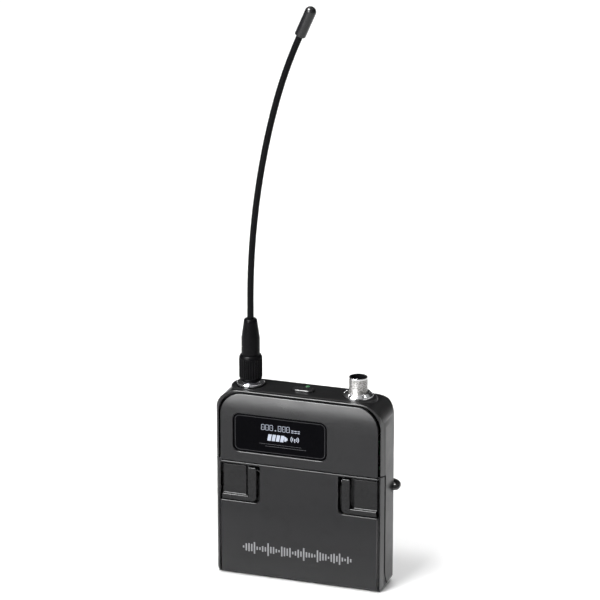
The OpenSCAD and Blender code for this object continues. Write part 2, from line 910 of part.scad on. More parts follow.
// Quarter bend of the clip wire in the X-Y plane
module clip_bend_flat(c, r, a) {
  translate([c[0], c[1], clip_z]) rotate([0, 0, a])
    rotate_extrude(angle = 90) translate([r, 0]) circle(clip_wire_r, $fn = 24);
}

// Quarter bend of the clip wire in the X-Z plane behind the case
module clip_bend_upright(x, z, r, a) {
  translate([x, clip_back_y, z]) rotate([90, 0, 0]) rotate([0, 0, a])
    rotate_extrude(angle = 90) translate([r, 0]) circle(clip_wire_r, $fn = 24);
}

// Sprung wire: each end turns in a side bush, hugs the rear edge and runs down the back
module belt_clip() {
  r1 = 1.25;
  r2 = 5;
  r3 = 3;
  r4 = 6;
  color("#232325") {
    both_sides() {
      bar_x(clip_y, clip_z, inner_w - 1.4, clip_out_x - r1, clip_wire_r, $fn = 24);
      clip_bend_flat([clip_out_x - r1, clip_y + r1], r1, -90);
      bar_y(clip_out_x, clip_z, clip_y + r1, clip_back_y - r2, clip_wire_r, $fn = 24);
      clip_bend_flat([clip_out_x - r2, clip_back_y - r2], r2, 0);
      bar_x(clip_back_y, clip_z, clip_leg_x + r3, clip_out_x - r2, clip_wire_r, $fn = 24);
      clip_bend_upright(clip_leg_x + r3, clip_z - r3, r3, 90);
      translate([clip_leg_x, clip_back_y, clip_low_z + r4])
        cylinder(h = clip_z - r3 - clip_low_z - r4, r = clip_wire_r, $fn = 24);
      clip_bend_upright(clip_leg_x - r4, clip_low_z + r4, r4, -90);
    }
    bar_x(clip_back_y, clip_low_z, -clip_leg_x + r4, clip_leg_x - r4, clip_wire_r, $fn = 24);
  }
}

module clip_bushes() {
  color("#3a3a3c")
    both_sides()
      difference() {
        bar_x(clip_y, clip_z, inner_w - 0.9, half_w - 0.05, bush_r);
        bar_x(clip_y, clip_z, inner_w - far, half_w + far, clip_wire_r + 0.05);
      }
}

rear_case();
front_cover();
display_window();
display_module();
display_holder();
main_board();
rf_shield();
switch_board();
power_switch();
status_led();
power_button();
control_panel();
control_switches();
set_button();
up_button();
down_button();
battery_tray();
upper_cell();
lower_cell();
battery_springs();
contact_link();
contact_positive();
contact_negative();
tray_screws();
case_screws();
battery_door();
cell_pad();
latch_left();
latch_right();
latch_retainers();
latch_spring_left();
latch_spring_right();
hinge_pins();
antenna_jack();
antenna_ring();
antenna_collar();
antenna_sleeve();
antenna_whip();
antenna_cap();
antenna_contact();
antenna_lead();
mic_shell();
mic_ring_nut();
mic_insert();
mic_pins();
mic_leads();
belt_clip();
clip_bushes();
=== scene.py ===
import json
import math

import bmesh
import bpy
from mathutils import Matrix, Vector


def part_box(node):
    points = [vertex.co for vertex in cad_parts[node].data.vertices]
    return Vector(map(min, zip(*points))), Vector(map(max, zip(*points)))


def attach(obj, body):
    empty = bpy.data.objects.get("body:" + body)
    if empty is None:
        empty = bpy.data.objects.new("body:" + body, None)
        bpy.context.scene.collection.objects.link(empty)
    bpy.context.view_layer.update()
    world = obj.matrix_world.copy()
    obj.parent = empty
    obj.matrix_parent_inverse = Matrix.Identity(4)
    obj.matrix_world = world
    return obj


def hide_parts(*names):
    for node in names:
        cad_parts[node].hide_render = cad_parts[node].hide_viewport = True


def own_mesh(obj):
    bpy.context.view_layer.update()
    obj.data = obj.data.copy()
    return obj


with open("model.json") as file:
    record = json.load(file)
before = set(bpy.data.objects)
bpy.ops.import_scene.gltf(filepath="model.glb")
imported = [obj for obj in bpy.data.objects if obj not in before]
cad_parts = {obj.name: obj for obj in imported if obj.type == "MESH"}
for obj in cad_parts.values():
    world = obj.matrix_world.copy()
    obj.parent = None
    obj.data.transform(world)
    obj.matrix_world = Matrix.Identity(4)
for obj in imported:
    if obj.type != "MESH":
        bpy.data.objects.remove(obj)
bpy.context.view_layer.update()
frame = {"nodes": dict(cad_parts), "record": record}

# A body-pack transmitter: every CAD node gets a finer shape and a finish, then come the stage and the camera.
MM = 0.001
scene = bpy.context.scene

# ---------------------------------------------------------------- sizes in mm, the same as in the CAD
HALF_W = 35.0
FRONT_Y = -8.9
COVER_TOP = 77.0
DOOR_TOP = 48.0
# the door's hinge axis, and the radius of the side seam about it
HINGE_Y = 3.4
HINGE_Z = 9.5
SEAM_R = 9.7
WINDOW_X0 = -27.4
WINDOW_Z0 = 52.6
WINDOW_W = 39.0
WINDOW_H = 16.0
WINDOW_CORNER_R = 2.8
LENS_Y = -8.45
ANTENNA_X = -22.9
MIC_X = 21.6
MIC_BORE_R = 3.05
MIC_LIP_Z = 85.5
CELL_Y = 0.1
CELL_R = 7.2
CELL_HALF = 24.6
NUB = 1.3
LOWER_CELL_Z = 9.9
UPPER_CELL_Z = 24.8
LATCH_SPRING_Y = -5.05
LATCH_SPRING_Z = 43.9

# the printed mark on the door
MARK_X0 = -23.4
MARK_X1 = 22.4
MARK_Z = 12.3
MARK_PITCH = 1.15


# ---------------------------------------------------------------- materials
class Graph:
    """A material's node tree with short ways to add the nodes used here."""

    def __init__(self, name):
        self.mat = bpy.data.materials.new(name)
        self.mat.use_nodes = True
        self.tree = self.mat.node_tree
        self.bsdf = self.tree.nodes["Principled BSDF"]
        places = self.tree.nodes.new("ShaderNodeTexCoord")
        self.coord = places.outputs["Object"]
        self.normal = places.outputs["Normal"]
        self.height = None

    def node(self, kind, **values):
        n = self.tree.nodes.new(kind)
        for k, v in values.items():
            setattr(n, k, v)
        return n

    def link(self, a, b):
        self.tree.links.new(a, b)

    def math(self, op, a, b=None):
        n = self.node("ShaderNodeMath", operation=op)
        for i, v in enumerate((a, b)):
            if v is None:
                continue
            if isinstance(v, (int, float)):
                n.inputs[i].default_value = v
            else:
                self.link(v, n.inputs[i])
        return n.outputs[0]

    def part_of(self, vector, which):
        n = self.node("ShaderNodeSeparateXYZ")
        self.link(vector, n.inputs[0])
        return n.outputs[which]

    def axis(self, which):
        """One coordinate in mm."""
        return self.math("MULTIPLY", self.part_of(self.coord, which), 1000.0)

    def length(self, a, b):
        """The length of a vector with the two components a and b."""
        return self.math("SQRT", self.math("ADD", self.math("MULTIPLY", a, a), self.math("MULTIPLY", b, b)))

    def inverse(self, value):
        return self.math("SUBTRACT", 1.0, value)

    def noise(self, size_mm, detail=3.0, stretch=(1, 1, 1)):
        """Noise from 0 to 1 whose features are about size_mm across."""
        m = self.node("ShaderNodeMapping")
        m.inputs["Scale"].default_value = stretch
        self.link(self.coord, m.inputs["Vector"])
        n = self.node("ShaderNodeTexNoise")
        n.inputs["Scale"].default_value = 1000.0 / size_mm
        n.inputs["Detail"].default_value = detail
        self.link(m.outputs[0], n.inputs["Vector"])
        return n.outputs["Fac"]

    def voronoi(self, size_mm):
        n = self.node("ShaderNodeTexVoronoi")
        n.inputs["Scale"].default_value = 1000.0 / size_mm
        self.link(self.coord, n.inputs["Vector"])
        return n.outputs["Distance"]

    def ramp(self, value, low, high, frm=0.3, to=0.7):
        """value from frm to to becomes low to high."""
        n = self.node("ShaderNodeMapRange", clamp=True)
        n.inputs["From Min"].default_value = frm
        n.inputs["From Max"].default_value = to
        n.inputs["To Min"].default_value = low
        n.inputs["To Max"].default_value = high
        self.link(value, n.inputs["Value"])
        return n.outputs[0]

    def smooth(self, value, edge0, edge1):
        n = self.node("ShaderNodeMapRange", interpolation_type="SMOOTHSTEP")
        n.inputs["From Min"].default_value = edge0
        n.inputs["From Max"].default_value = edge1
        self.link(value, n.inputs["Value"])
        return n.outputs[0]

    def mix(self, fac, a, b):
        n = self.node("ShaderNodeMix", data_type="RGBA")
        for socket, v in ((n.inputs[0], fac), (n.inputs[6], a), (n.inputs[7], b)):
            if isinstance(v, (int, float)):
                socket.default_value = v
            elif isinstance(v, tuple):
                socket.default_value = (*v, 1.0)
            else:
                self.link(v, socket)
        return n.outputs[2]

    def linked(self, name):
        """What feeds an input of the shader now."""
        return self.bsdf.inputs[name].links[0].from_socket

    def set(self, name, value):
        socket = self.bsdf.inputs[name]
        if isinstance(value, tuple):
            socket.default_value = (*value, 1.0)
        elif isinstance(value, (int, float)):
            socket.default_value = value
        else:
            self.link(value, socket)

    def bump(self, height, depth_mm, strength=1.0):
        """Adds a bump of that depth on top of the ones before it."""
        n = self.node("ShaderNodeBump")
        n.inputs["Distance"].default_value = depth_mm * MM
        n.inputs["Strength"].default_value = strength
        self.link(height, n.inputs["Height"])
        if self.height is not None:
            self.link(self.height, n.inputs["Normal"])
        self.height = n.outputs["Normal"]
        self.link(self.height, self.bsdf.inputs["Normal"])


def plain(name, colour, rough, metal=0.0, grain=0.12, depth=0.004, spread=0.06, tint=0.12, specular=0.5,
          coat=0.0):
    """A finish with grain (its size and depth in mm), uneven gloss and slightly uneven colour."""
    g = Graph(name)
    g.set("Metallic", metal)
    g.set("Specular IOR Level", specular)
    if coat:
        g.set("Coat Weight", coat)
        g.set("Coat Roughness", 0.08)
    cloud = g.noise(6.0)
    dark = tuple(c * (1 - tint) for c in colour)
    g.set("Base Color", g.mix(g.ramp(cloud, 0, 1), dark, colour))
    fine = g.noise(grain, 4.0)
    uneven = g.ramp(fine, rough - spread, rough + spread)
    g.set("Roughness", g.math("ADD", uneven, g.ramp(cloud, -0.03, 0.03)))
    g.bump(fine, depth)
    return g


def side_sheen_and_seam_shade(g, level):
    """Painted sheen and painted shade in the gloss: more gloss on the rounded edge towards the right side, so
    it reads as lit as the side, and a dark line along the door's side seam, where the seam's shadow falls.
    """
    right = g.part_of(g.normal, "X")
    # painted sheen: extra gloss on the rounded edge, so it reads as light as the flat side
    painted_sheen = g.math("SUBTRACT", g.smooth(right, 0.38, 0.62), g.smooth(right, 0.9, 0.995))
    x, y, z = g.axis("X"), g.axis("Y"), g.axis("Z")
    # the seam is an arc about the hinge up to the hinge's height, and goes straight up from there
    below = g.math("MAXIMUM", g.math("SUBTRACT", HINGE_Z, z), 0.0)
    reach = g.length(below, g.math("SUBTRACT", HINGE_Y, y))
    off = g.math("ABSOLUTE", g.math("SUBTRACT", reach, SEAM_R))
    # painted shade: the gloss is cut along the seam so it reads as a dark shadow line
    painted_line = g.inverse(g.smooth(off, 0.5, 0.75))
    on_side = g.math("GREATER_THAN", g.math("ABSOLUTE", x), HALF_W - 1.0)
    painted_line = g.math("MULTIPLY", painted_line, g.math("MULTIPLY", on_side, g.math("LESS_THAN", z, DOOR_TOP + 1.2)))
    keep = g.inverse(g.math("MULTIPLY", painted_line, 0.85))
    gain = g.math("ADD", g.math("MULTIPLY", painted_sheen, 0.75), level)
    g.set("Specular IOR Level", g.math("MULTIPLY", gain, keep))


def case_plastic():
    """Moulded black plastic with a fine pebbled texture."""
    g = plain("case_plastic", (0.0045, 0.0045, 0.005), 0.34, grain=0.16, depth=0.010, specular=0.34)
    g.bump(g.voronoi(0.35), 0.004)
    # painted sheen on the rounded right edge and painted shade along the side seam
    side_sheen_and_seam_shade(g, 0.34)
    return g.mat


def panel_finish(name, crown):
    """Satin charcoal paint. A bump tilts the cover's surface back slightly towards its top, and the door's
    towards its foot.
    """
    g = plain(name, (0.0055, 0.0055, 0.0064), 0.33, grain=0.14, depth=0.006, spread=0.05, specular=0.30)
    g.bump(g.voronoi(0.3), 0.003)
    if crown:
        span, depth = 12.0, 2.5
        rise = g.math("SUBTRACT", g.axis("Z"), COVER_TOP - span)
    else:
        span, depth = 17.0, 3.4
        rise = g.math("SUBTRACT", span, g.axis("Z"))
    rise = g.math("MAXIMUM", g.math("DIVIDE", rise, span), 0.0)
    g.bump(g.math("MULTIPLY", g.math("POWER", rise, 2.0), -1.0), depth)
    return g


def door_finish():
    """The same paint with a printed mark: a row of upright bars that rise and fall, like a sound level."""
    g = panel_finish("door_finish", False)
    x, y, z = g.axis("X"), g.axis("Y"), g.axis("Z")
    along = g.math("DIVIDE", g.math("SUBTRACT", x, MARK_X0), MARK_PITCH)
    index = g.math("FLOOR", along)
    inside_bar = g.math("LESS_THAN", g.math("FRACT", along), 0.52)
    swell = g.math("ABSOLUTE", g.math("SINE", g.math("MULTIPLY", index, 0.51)))
    ripple = g.math("ABSOLUTE", g.math("SINE", g.math("MULTIPLY", index, 1.93)))
    half = g.math("ADD", g.math("MULTIPLY", g.math("MULTIPLY", swell, ripple), 2.3), 0.45)
    off = g.math("ABSOLUTE", g.math("SUBTRACT", z, MARK_Z))
    tall = g.math("LESS_THAN", off, half)
    ends = g.math("MULTIPLY", g.math("GREATER_THAN", x, MARK_X0), g.math("LESS_THAN", x, MARK_X1))
    front = g.math("LESS_THAN", y, FRONT_Y + 0.05)
    mark = g.math("MULTIPLY", g.math("MULTIPLY", inside_bar, tall), g.math("MULTIPLY", ends, front))
    g.set("Base Color", g.mix(mark, g.linked("Base Color"), (0.22, 0.22, 0.23)))
    # painted sheen: the gloss rises towards the door's foot so its lower part reads lighter; the side's
    # painted sheen and seam shade come with it
    side_sheen_and_seam_shade(g, g.ramp(z, 0.44, 0.27, 5.0, 30.0))
    return g.mat


def lens_gloss():
    """Black gloss with a painted highlight: a fine grey line just inside its outline, standing for light on
    the lens's chamfered edge.
    """
    black = (0.0018, 0.0018, 0.0024)
    g = plain("window_gloss", black, 0.06, grain=0.5, depth=0.0004, spread=0.02, specular=0.012)
    past_corner = []
    for which, start, size in (("X", WINDOW_X0, WINDOW_W), ("Z", WINDOW_Z0, WINDOW_H)):
        off = g.math("ABSOLUTE", g.math("SUBTRACT", g.axis(which), start + size / 2))
        past_corner.append(g.math("MAXIMUM", g.math("SUBTRACT", off, size / 2 - WINDOW_CORNER_R), 0.0))
    # negative inside the outline
    edge = g.math("SUBTRACT", g.length(*past_corner), WINDOW_CORNER_R)
    # painted highlight: a grey line 0.9 mm inside the outline, for light on the lens's chamfered edge
    painted_line = g.inverse(g.smooth(g.math("ABSOLUTE", g.math("ADD", edge, 0.9)), 0.06, 0.16))
    g.set("Base Color", g.mix(painted_line, g.linked("Base Color"), (0.036, 0.036, 0.038)))
    return g.mat


def barrel_metal():
    """Bead-blasted nickel with a polished lip, and painted shade inside: the bore's wall is coloured black,
    matt and without metal.
    """
    nickel = (0.47, 0.465, 0.46)
    g = plain("mic_metal", nickel, 0.46, metal=1.0, grain=0.1, depth=0.012, spread=0.1, tint=0.22)
    speck = g.ramp(g.noise(0.55, 2.0), 0, 1, 0.44, 0.56)
    blotch = g.mix(speck, (0.22, 0.215, 0.21), g.linked("Base Color"))
    lip = g.smooth(g.axis("Z"), MIC_LIP_Z, MIC_LIP_Z + 0.3)
    outer = g.mix(lip, blotch, (0.52, 0.52, 0.53))
    # painted shade: inside the bore the wall is painted black, matt and not metal, for the shade in the hole
    radius = g.length(g.math("SUBTRACT", g.axis("X"), MIC_X), g.axis("Y"))
    bore_shade = g.math("LESS_THAN", radius, MIC_BORE_R)
    g.set("Base Color", g.mix(bore_shade, outer, (0.006, 0.006, 0.007)))
    g.set("Metallic", g.inverse(bore_shade))
    g.set("Specular IOR Level", g.math("MULTIPLY", g.inverse(bore_shade), 0.5))
    g.set("Roughness", g.math("MULTIPLY", g.linked("Roughness"), g.inverse(g.math("MULTIPLY", lip, 0.7))))
    return g.mat


def turned(name, colour, rough, metal=1.0):
    """Metal with fine turning lines round the vertical axis."""
    g = plain(name, colour, rough, metal=metal, grain=0.2, depth=0.002, spread=0.04)
    g.bump(g.noise(0.25, 2.0, (0.02, 0.02, 1.0)), 0.003)
    return g.mat


def board_green():
    """Green solder mask with a regular pattern of pale lines between its fields."""
    g = plain("board", (0.012, 0.075, 0.035), 0.35, grain=0.3, depth=0.004, coat=0.4)
    brick = g.node("ShaderNodeTexBrick")
    brick.inputs["Scale"].default_value = 260.0
    brick.inputs["Mortar Size"].default_value = 0.03
    swap = g.node("ShaderNodeMapping")
    swap.inputs["Rotation"].default_value = (math.radians(90), 0, 0)
    g.link(g.coord, swap.inputs["Vector"])
    g.link(swap.outputs[0], brick.inputs["Vector"])
    joints = g.math("MULTIPLY", brick.outputs["Fac"], 0.5)
    g.set("Base Color", g.mix(joints, g.linked("Base Color"), (0.05, 0.2, 0.09)))
    g.bump(brick.outputs["Fac"], 0.03)
    return g.mat


def glow(name, colour, strength):
    """A finish that shines a little by itself."""
    g = plain(name, colour, 0.3, grain=0.3, depth=0.002)
    g.set("Emission Color", colour)
    g.set("Emission Strength", g.ramp(g.noise(1.2), strength * 0.85, strength * 1.1))
    return g.mat


def jacket(name, body, band, side):
    """A cell's jacket: two colours that meet near the nub end, and a bare rim at both ends. side is +1 or -1,
    where the nub points along X."""
    g = plain(name, body, 0.28, grain=0.4, depth=0.003, coat=0.6)
    x = g.math("MULTIPLY", g.axis("X"), side)
    two = g.mix(g.smooth(x, 11.0, 11.2), g.linked("Base Color"), band)
    end = g.smooth(g.math("ABSOLUTE", g.axis("X")), 23.75, 23.85)
    g.set("Base Color", g.mix(end, two, (0.6, 0.6, 0.62)))
    g.set("Metallic", end)
    return g.mat


RUBBER = (0.0035, 0.0035, 0.004)
CELL_BODY = (0.02, 0.021, 0.024)
CELL_BAND = (0.30, 0.19, 0.07)

FINISH = {
    "case": case_plastic(),
    "panel": panel_finish("panel_finish", True).mat,
    "door": door_finish(),
    "latch": plain("latch_finish", (0.0045, 0.0045, 0.005), 0.28, grain=0.16, depth=0.006, specular=0.26).mat,
    "lens": lens_gloss(),
    "display": plain("display", (0.01, 0.01, 0.016), 0.2, grain=0.5, depth=0.001).mat,
    "black": plain("black_plastic", (0.014, 0.014, 0.015), 0.45, grain=0.14, depth=0.008).mat,
    "button": plain("button_plastic", (0.010, 0.010, 0.011), 0.30, grain=0.2, depth=0.004).mat,
    "board": board_green(),
    "steel": turned("steel", (0.62, 0.62, 0.64), 0.26),
    "spring": turned("spring_steel", (0.70, 0.70, 0.71), 0.18),
    "chrome": turned("chrome", (0.80, 0.80, 0.82), 0.07),
    "nut": turned("nut_nickel", (0.52, 0.52, 0.53), 0.17),
    "mic": barrel_metal(),
    "brass": turned("brass", (0.72, 0.50, 0.20), 0.22),
    "jack": turned("jack_metal", (0.16, 0.16, 0.17), 0.30),
    "led": glow("led", (0.05, 0.17, 0.07), 0.10),
    "glyph": glow("glyph", (0.30, 0.325, 0.385), 0.26),
    "glyph_dim": glow("glyph_dim", (0.05, 0.05, 0.055), 0.02),
    "key": plain("key_plastic", (0.10, 0.10, 0.11), 0.4, grain=0.16, depth=0.006).mat,
    "rubber": plain("antenna_rubber", RUBBER, 0.30, grain=0.18, depth=0.006, specular=0.05).mat,
    "cap": plain("cap_plastic", (0.009, 0.009, 0.010), 0.26, grain=0.2, depth=0.004, specular=0.35).mat,
    "wire": plain("clip_wire", (0.012, 0.012, 0.013), 0.30, grain=0.25, depth=0.005, specular=0.6).mat,
    "foam": plain("foam", (0.015, 0.015, 0.016), 0.9, grain=0.35, depth=0.06).mat,
    "lead": plain("lead_jacket", (0.30, 0.03, 0.025), 0.35, grain=0.3, depth=0.003).mat,
    "cell_a": jacket("cell_jacket_a", CELL_BODY, CELL_BAND, 1.0),
    "cell_b": jacket("cell_jacket_b", CELL_BODY, CELL_BAND, -1.0),
}


# ---------------------------------------------------------------- geometry helpers
RECORD = frame["record"]
BODY = {node: body for body, nodes in RECORD["behaviour"]["bodies"].items() for node in nodes}


def add(name, shape, node, material, smooth, stands_for=True):
    """A piece from a list of points in mm and a list of faces, dressed like that CAD node."""
    verts, faces = shape
    mesh = bpy.data.meshes.new(name)
    mesh.from_pydata([Vector(v) * MM for v in verts], [], faces)
    return dress(name, mesh, node, material, smooth, stands_for)


def dress(name, mesh, node, material, smooth, stands_for=True):
    """Makes the mesh a piece that rides with the CAD node's body and, unless told otherwise, stands for the
    node. Edges sharper than smooth degrees stay sharp."""
    bm = bmesh.new()
    bm.from_mesh(mesh)
    bmesh.ops.recalc_face_normals(bm, faces=bm.faces)
    bm.to_mesh(mesh)
    bm.free()
    for face in mesh.polygons:
        face.use_smooth = True
    mesh.set_sharp_from_angle(angle=math.radians(smooth))
    mesh.materials.append(FINISH[material])
    piece = bpy.data.objects.new(name, mesh)
    scene.collection.objects.link(piece)
    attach(piece, BODY[node])
    if stands_for:
        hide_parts(node)
    return piece


def refined(node, material, width, segments=3):
    """The CAD node's shape with its flat faces made whole and its sharp edges rounded by width in mm."""
    source = frame["nodes"][node].data
    mesh = bpy.data.meshes.new(node + "_look")
    mesh.from_pydata([v.co.copy() for v in source.vertices], [], [tuple(p.vertices) for p in source.polygons])
    bm = bmesh.new()
    bm.from_mesh(mesh)
    bmesh.ops.remove_doubles(bm, verts=bm.verts, dist=2e-6)
    bmesh.ops.dissolve_limit(bm, angle_limit=math.radians(0.6), verts=bm.verts, edges=bm.edges)
    bmesh.ops.triangulate(bm, faces=[x for x in bm.faces if len(x.verts) > 4])
    bm.to_mesh(mesh)
    bm.free()
    piece = dress(node + "_look", mesh, node, material, 40.0)
    if width:
        rounding = piece.modifiers.new("round", "BEVEL")
        rounding.width = width * MM
        rounding.segments = segments
        rounding.limit_method = "ANGLE"
        rounding.angle_limit = math.radians(32.0)
        rounding.loop_slide = False
        rounding.use_clamp_overlap = False
        rounding.miter_outer = "MITER_ARC"
        rounding.harden_normals = True


def rings_mesh(rings, closed):
    """Points and faces of a skin over rings of points. If closed, the last ring is joined to the first,
    otherwise both ends are capped."""
    n = len(rings[0])
    verts = [p for r in rings for p in r]
    faces = []
    last = len(rings) if closed else len(rings) - 1
    for i in range(last):
        a, b = i * n, ((i + 1) % len(rings)) * n
        faces += [(a + k, a + (k + 1) % n, b + (k + 1) % n, b + k) for k in range(n)]
    if not closed:
        faces.append(tuple(range(n))[::-1])
        faces.append(tuple((len(rings) - 1) * n + k for k in range(n)))
    return verts, faces


def lathe(profile, sides, shape=None):
    """Rings about the Z axis from (radius, height) pairs. shape(radius, height, angle) may alter a radius."""
    out = []
    for r, z in profile:
        ring = []
        for k in range(sides):
            a = 2 * math.pi * k / sides
            q = shape(r, z, a) if shape else r
            ring.append((q * math.cos(a), q * math.sin(a), z))
        out.append(ring)
    return out


def placed(rings, dx=0.0, dy=0.0, dz=0.0, side=1):
    """The rings moved, and mirrored to the left half if side is -1."""
    return [[(side * (x + dx), y + dy, z + dz) for x, y, z in ring] for ring in rings]


def coil(x0, x1, r0, r1, wire, turns, sides, steps_per_turn):
    """A wire of radius wire wound about the X axis from x0 to x1 with nearly flat half turns at its ends."""
    steps = int(turns * steps_per_turn)
    rings = []
    for i in range(steps + 1):
        t = i / steps
        a = 2 * math.pi * turns * t
        flat = 0.5 / turns
        lift = min(max((t - flat) / (1 - 2 * flat), 0.0), 1.0)
        x = x0 + wire + (x1 - x0 - 2 * wire) * (0.75 * lift + 0.25 * t)
        r = r0 + (r1 - r0) * t
        ring = []
        for k in range(sides):
            b = 2 * math.pi * k / sides
            d = r + wire * math.cos(b)
            ring.append((x + wire * math.sin(b), d * math.cos(a), d * math.sin(a)))
        rings.append(ring)
    return rings


def merged(*meshes):
    """Several lists of points and faces as one."""
    verts, faces = [], []
    for v, f in meshes:
        base = len(verts)
        verts += v
        faces += [tuple(i + base for i in face) for face in f]
    return verts, faces


# ---------------------------------------------------------------- case, front and door
refined("rear_case", "case", 0.26)
refined("front_cover", "panel", 0.34)
refined("battery_door", "door", 0.3)
refined("latch_left", "latch", 0.3, 4)
refined("latch_right", "latch", 0.3, 4)
refined("display_window", "lens", 0.35)
refined("power_button", "button", 0.45, 5)
refined("status_led", "led", 0.08)
for node, material, width in (
    ("display_module", "display", 0.2),
    ("display_holder", "black", 0.15),
    ("main_board", "board", 0.06),
    ("switch_board", "board", 0.06),
    ("rf_shield", "steel", 0.2),
    ("power_switch", "black", 0.12),
    ("control_panel", "black", 0.15),
    ("control_switches", "steel", 0.12),
    ("set_button", "key", 0.3),
    ("up_button", "key", 0.3),
    ("down_button", "key", 0.3),
    ("battery_tray", "black", 0.2),
    ("contact_link", "steel", 0.08),
    ("contact_positive", "steel", 0.08),
    ("contact_negative", "steel", 0.08),
    ("tray_screws", "steel", 0.12),
    ("case_screws", "wire", 0.08),
    ("cell_pad", "foam", 0.4),
    ("latch_retainers", "black", 0.1),
    ("hinge_pins", "steel", 0.15),
    ("antenna_jack", "jack", 0.12),
    ("antenna_ring", "chrome", 0.1),
    ("antenna_contact", "brass", 0.2),
    ("antenna_lead", "black", 0.2),
    ("mic_shell", "mic", 0.14),
    ("mic_ring_nut", "nut", 0.12),
    ("mic_insert", "black", 0.25),
    ("mic_pins", "jack", 0.0),
    ("mic_leads", "lead", 0.15),
    ("clip_bushes", "black", 0.15),
    ("belt_clip", "wire", 0.0),
    ("antenna_sleeve", "rubber", 0.15),
    ("antenna_whip", "rubber", 0.0),
    ("antenna_cap", "cap", 0.4),
):
    refined(node, material, width)

# ---------------------------------------------------------------- antenna collar with its flutes
COLLAR_R = 4.6
COLLAR_BORE_R = 2.45
SOCKET_R = 3.05
FLUTES = 30
FLUTE_DEPTH = 0.30
LOW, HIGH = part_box("antenna_collar")
C0, C1 = LOW.z / MM, HIGH.z / MM


def flutes(radius, height, angle):
    """Upright grooves between the two plain bands of the collar."""
    if radius < 4.2 or not C0 + 1.9 < height < C1 - 1.5:
        return radius
    phase = (angle * FLUTES / (2 * math.pi)) % 1.0
    return radius - FLUTE_DEPTH * max(0.0, math.sin(math.pi * phase)) ** 0.7


def antenna_collar():
    profile = [
        # lower band, up to the flutes
        (SOCKET_R, C0), (3.8, C0), (3.95, C0 + 0.12), (4.55, C0 + 1.45),
        (COLLAR_R, C0 + 1.65), (COLLAR_R, C0 + 1.88),
        # flutes
        (COLLAR_R, C0 + 1.95), (COLLAR_R, C0 + 4.0), (COLLAR_R, C1 - 3.0), (COLLAR_R, C1 - 1.55),
        # upper band and shoulder
        (COLLAR_R, C1 - 1.45), (COLLAR_R, C1 - 1.05), (4.5, C1 - 0.85), (4.1, C1 - 0.1), (3.95, C1),
        # bore
        (COLLAR_BORE_R, C1), (COLLAR_BORE_R, C1 - 3.6), (SOCKET_R, C1 - 3.6),
    ]
    shape = rings_mesh(placed(lathe(profile, 360, flutes), ANTENNA_X), True)
    add("antenna_collar_look", shape, "antenna_collar", "rubber", 35)


# ---------------------------------------------------------------- cells and springs
def cell(node, axis_z, side, material):
    """Rolled edges, a groove in the jacket's rim, a rounded nub and a dished flat end."""
    centre = 0.0001
    profile = [
        # dished end
        (centre, -CELL_HALF + 0.12), (4.6, -CELL_HALF + 0.12), (5.0, -CELL_HALF), (6.6, -CELL_HALF),
        (7.0, -CELL_HALF + 0.15), (CELL_R, -CELL_HALF + 0.5),
        # jacket and rim
        (CELL_R, CELL_HALF - 0.9), (7.05, CELL_HALF - 0.6), (6.9, CELL_HALF - 0.45), (6.6, CELL_HALF - 0.3),
        (4.2, CELL_HALF - 0.3), (3.4, CELL_HALF), (2.7, CELL_HALF),
        # nub
        (2.7, CELL_HALF + NUB - 0.3), (2.5, CELL_HALF + NUB - 0.1),
        (2.2, CELL_HALF + NUB), (centre, CELL_HALF + NUB),
    ]
    rings = [
        [(side * (along - NUB / 2), y + CELL_Y, axis_z + x) for x, y, along in ring]
        for ring in lathe(profile, 72)
    ]
    add(node + "_look", rings_mesh(rings, False), node, material, 30)


def battery_springs():
    """One conical spring at each cell's flat end: the lower one on the right, the upper one on the left."""
    both = []
    for side, axis_z in ((1, LOWER_CELL_Z), (-1, UPPER_CELL_Z)):
        rings = coil(25.30, 26.85, 2.2, 4.4, 0.3, 2.4, 10, 28)
        both.append(rings_mesh(placed(rings, 0, CELL_Y, axis_z, side), False))
    add("battery_springs_look", merged(*both), "battery_springs", "spring", 60)


def latch_spring(name, side):
    """A small coil at one length; the latch's spring shortens towards its fixed end when the latch slides in.
    """
    rings = placed(coil(16.5, 18.65, 0.6, 0.6, 0.15, 5, 8, 24), 0, LATCH_SPRING_Y, LATCH_SPRING_Z, side)
    piece = add(name + "_look", rings_mesh(rings, False), name, "spring", 60)
    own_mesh(piece)


antenna_collar()
cell("upper_cell", UPPER_CELL_Z, 1, "cell_a")
cell("lower_cell", LOWER_CELL_Z, -1, "cell_b")
battery_springs()
latch_spring("latch_spring_right", 1)
latch_spring("latch_spring_left", -1)

# ---------------------------------------------------------------- what the display shows
# the marks stand this far out of the lens and reach as far into it
RELIEF = 0.03
STROKE = 0.15
DIGIT_X0 = -15.6
DIGIT_Z = 62.75
DIGIT_W = 1.35
DIGIT_H = 2.35
DIGIT_PITCH = 1.74
BATTERY_Z0 = 58.5
BATTERY_Z1 = 61.2
BLOCK_X0 = -3.1
BLOCK_PITCH = 1.3
SIGNAL_X = -1.7
SIGNAL_Z = 60.1


def bar(x0, z0, x1, z1, lean=0.0):
    """A flat bar on the lens; its upper edge is shifted by lean."""
    corners = ((x0, z0), (x1, z0), (x1 + lean, z1), (x0 + lean, z1))
    verts = [(x, y, z) for y in (LENS_Y - RELIEF, LENS_Y + RELIEF) for x, z in corners]
    faces = [(0, 1, 2, 3), (7, 6, 5, 4), (0, 4, 5, 1), (1, 5, 6, 2), (2, 6, 7, 3), (3, 7, 4, 0)]
    return verts, faces


